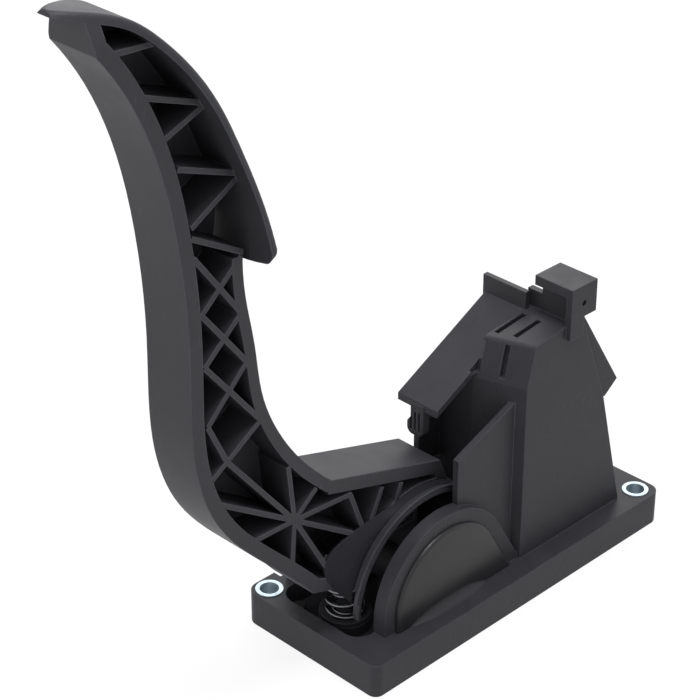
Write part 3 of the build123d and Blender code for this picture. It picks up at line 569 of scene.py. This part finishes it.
class PEDAL_OT_cap(bpy.types.Operator):
    """Build the half-round cap over the sensor"""

    bl_idname = "pedal.cap"
    bl_label = "Sensor cap"

    def execute(self, context):
        look = context.scene.pedal_plastics
        piece = cap_piece("sensor_cap", context.scene.pedal_cap)
        piece.data.materials.append(
            moulded_nylon("glass-filled nylon, smooth moulded cap", look.cap, look, 12, (0.3, 0.38), mirror=0.28))
        # The foot runs into the plate, so it has the housing's colour and no paler edges of wear or painted highlight.
        piece.data.materials.append(
            moulded_nylon("glass-filled nylon, moulded foot", look.housing, look, 18, rub_and_highlight=0.0, edge=0.02))
        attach(piece, "base")
        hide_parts("sensor_cover")
        return {"FINISHED"}


class PEDAL_OT_arm(bpy.types.Operator):
    """Finish the ribbed pedal arm, close its cheek over the springs and add the drum's flange"""

    bl_idname = "pedal.arm"
    bl_label = "Arm"

    def execute(self, context):
        look = context.scene.pedal_plastics
        # The arm's edges are drawn paler than the housing's, partly wear and partly painted highlight.
        nylon = moulded_nylon("glass-filled nylon, moulded arm", look.arm, look, 24, (0.42, 0.55), 2.0)
        dress("pedal_arm", nylon)
        sizes = context.scene.pedal_cheek
        # The cheek is the arm's own plastic. Its darker colour is painted shade, matched to the cheek's shaded tone,
        # and its skin is coarser and less glossy.
        coarse_painted_shade = moulded_nylon("glass-filled nylon, coarse moulded cheek", look.cheek, look, 24, (0.5, 0.62), 1.0, 0.1)
        for piece, material in (
                (cheek_piece("spring_cheek", sizes), coarse_painted_shade), (flange_piece("drum_flange", sizes), nylon)):
            piece.data.materials.append(material)
            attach(piece, "arm")
        return {"FINISHED"}


class PEDAL_OT_springs(bpy.types.Operator):
    """Wind the two return springs"""

    bl_idname = "pedal.springs"
    bl_label = "Springs"

    def execute(self, context):
        sizes = context.scene.pedal_springs
        steel = drawn_steel("spring steel wire, drawn and oiled", context.scene.pedal_metals.spring, 0.3, (1, 1, 6))
        for name, node, wire, turns in (
                ("outer_spring", "return_spring_outer", sizes.outer_wire, sizes.outer_turns),
                ("inner_spring", "return_spring_inner", sizes.inner_wire, sizes.inner_turns)):
            piece = coil_piece(name, node, wire, turns, sizes.ends)
            piece.data.materials.append(steel)
            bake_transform(piece)
            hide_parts(node)
        return {"FINISHED"}


class PEDAL_OT_bearing(bpy.types.Operator):
    """Finish the shaft, its bushes, washers and spring seats"""

    bl_idname = "pedal.bearing"
    bl_label = "Bearing"

    def execute(self, context):
        metals = context.scene.pedal_metals
        plastics = context.scene.pedal_plastics
        steel = drawn_steel("spring steel, ground", metals.steel, 0.25, (1, 6, 1))
        for node in ("pivot_shaft", "shaft_clip", "wave_washer"):
            dress(node, steel)
        acetal = natural_acetal("acetal, turned natural", plastics.bearing)
        for node in ("bush_front", "bush_back", "friction_washer"):
            dress(node, acetal)
        cups = moulded_nylon("glass-filled nylon, spring seats", plastics.housing, plastics, 8)
        for node in ("spring_seat", "spring_cup"):
            dress(node, cups)
        return {"FINISHED"}


class PEDAL_OT_fasteners(bpy.types.Operator):
    """Finish the bolt sleeves and the cover screws"""

    bl_idname = "pedal.fasteners"
    bl_label = "Fasteners"

    def execute(self, context):
        zinc = plated_metal("steel, bright zinc plate", context.scene.pedal_metals.zinc, 0.5, 3)
        for node in ("compression_sleeves", "cover_screws"):
            dress(node, zinc)
        return {"FINISHED"}


class PEDAL_OT_sensor(bpy.types.Operator):
    """Finish the sensor board, chips, magnet and contacts"""

    bl_idname = "pedal.sensor"
    bl_label = "Sensor"

    def execute(self, context):
        look = context.scene.pedal_plastics
        metals = context.scene.pedal_metals
        dress("sensor_board", solder_mask("solder mask on glass laminate", look.board))
        dress("hall_chips", press_moulded("epoxy, press-moulded chips", look.chips))
        dress("magnet_rotor", moulded_nylon("glass-filled nylon, magnet carrier", look.housing, look, 5))
        dress("sensor_magnet", plated_metal("ferrite magnet, nickel plate", metals.nickel, 0.3, 2))
        dress("connector_pins", plated_metal("brass, tin plate", metals.tin, 0.28, 2))
        return {"FINISHED"}


class PEDAL_OT_stage(bpy.types.Operator):
    """Lay the floor, hang the lamps and set the camera"""

    bl_idname = "pedal.stage"
    bl_label = "Studio"

    def execute(self, context):
        look = context.scene.pedal_studio
        scene = context.scene
        scene.view_settings.view_transform = "Standard"
        self.lay_floor(look)
        self.light(scene, look)
        self.place_camera(scene, look)
        return {"FINISHED"}

    def lay_floor(self, look):
        """Pale matt floor that stays white to the camera and keeps the pedal's shadow."""
        mesh = bpy.data.meshes.new("floor")
        corners = [(FLOOR_HALF * x, FLOOR_HALF * y, 0) for x, y in ((-1, -1), (1, -1), (1, 1), (-1, 1))]
        mesh.from_pydata(corners, [], [(0, 1, 2, 3)])
        floor = link_piece("floor", mesh)
        floor.location.z = CAD_BOX[0].z - FLOOR_GAP
        material, tree, _ = new_material("studio paper", look.floor)
        paper = add_node(tree, "ShaderNodeBsdfDiffuse", {"Color": (*look.floor, 1)})
        glow = add_node(tree, "ShaderNodeEmission", {"Color": (1, 1, 1, 1), "Strength": 1.0})
        share = add_node(tree, "ShaderNodeMath", {0: self.shown(tree), 1: PAPER_GLOW}, operation="MULTIPLY")
        both = add_node(tree, "ShaderNodeMixShader", {
            "Fac": share.outputs["Value"], 1: paper.outputs["BSDF"], 2: glow.outputs["Emission"]})
        add_node(tree, "ShaderNodeOutputMaterial", {"Surface": both.outputs["Shader"]})
        mesh.materials.append(material)

    def shown(self, tree):
        """1 where a ray shows the background: straight, mirrored or through clear material."""
        path = add_node(tree, "ShaderNodeLightPath").outputs
        mirrored = add_node(tree, "ShaderNodeMath", {
            0: path["Is Camera Ray"], 1: path["Is Glossy Ray"]}, operation="ADD", use_clamp=True)
        return add_node(tree, "ShaderNodeMath", {
            0: mirrored.outputs["Value"], 1: path["Is Transmission Ray"]}, operation="ADD",
            use_clamp=True).outputs["Value"]

    def light(self, scene, look):
        """Even sky, with a lamp above the pedal, one on the camera's left and one behind on the right."""
        world = bpy.data.worlds.new("studio")
        scene.world = world
        world.use_nodes = True
        tree = world.node_tree
        tree.nodes.clear()
        strength = add_node(tree, "ShaderNodeMapRange", {
            "Value": self.shown(tree), "To Min": look.sky, "To Max": 1.0})
        sky = add_node(tree, "ShaderNodeBackground", {
            "Color": (1, 1, 1, 1), "Strength": strength.outputs["Result"]})
        add_node(tree, "ShaderNodeOutputWorld", {"Surface": sky.outputs["Background"]})
        for name, power, size, spot in LAMPS:
            lamp = bpy.data.lights.new(name, "AREA")
            lamp.energy = getattr(look, power)
            lamp.size = size
            holder = link_piece(name, lamp)
            holder.location = spot
            aim = LAMP_AIM - holder.location
            holder.rotation_euler = aim.to_track_quat("-Z", "Y").to_euler()

    def place_camera(self, scene, look):
        """Camera at the photograph's place, looking 30 degrees down across the near corner."""
        camera = bpy.data.cameras.new("camera")
        camera.lens = look.lens
        camera.sensor_width = 36
        camera.clip_start = 0.05
        camera.clip_end = 50
        holder = link_piece("camera", camera)
        holder.location = CAMERA_PLACE
        holder.rotation_euler = CAMERA_TURN
        scene.camera = holder


OPERATORS = (
    PEDAL_OT_housing, PEDAL_OT_cap, PEDAL_OT_arm, PEDAL_OT_springs, PEDAL_OT_bearing, PEDAL_OT_fasteners,
    PEDAL_OT_sensor, PEDAL_OT_stage,
)
GROUPS = {
    "pedal_plastics": PedalPlastics,
    "pedal_metals": PedalMetals,
    "pedal_springs": PedalSprings,
    "pedal_cap": PedalCap,
    "pedal_cheek": PedalCheek,
    "pedal_studio": PedalStudio,
}


class PEDAL_PT_build(bpy.types.Panel):
    """Sidebar list of the pedal's pieces and their values"""

    bl_label = "Accelerator pedal"
    bl_idname = "PEDAL_PT_build"
    bl_space_type = "VIEW_3D"
    bl_region_type = "UI"
    bl_category = "Pedal"

    def draw(self, context):
        for group, kind in GROUPS.items():
            box = self.layout.box()
            for name in kind.__annotations__:
                box.prop(getattr(context.scene, group), name)
        for operator in OPERATORS:
            self.layout.operator(operator.bl_idname)


def register():
    for kind in (*GROUPS.values(), *OPERATORS, PEDAL_PT_build):
        bpy.utils.register_class(kind)
    for name, kind in GROUPS.items():
        setattr(bpy.types.Scene, name, bpy.props.PointerProperty(type=kind))


def unregister():
    for name in GROUPS:
        delattr(bpy.types.Scene, name)
    for kind in (PEDAL_PT_build, *reversed(OPERATORS), *reversed(GROUPS.values())):
        bpy.utils.unregister_class(kind)


def main():
    register()
    bpy.ops.pedal.housing()
    bpy.ops.pedal.cap()
    bpy.ops.pedal.arm()
    bpy.ops.pedal.springs()
    bpy.ops.pedal.bearing()
    bpy.ops.pedal.fasteners()
    bpy.ops.pedal.sensor()
    bpy.ops.pedal.stage()


if __name__ == "__main__":
    main()
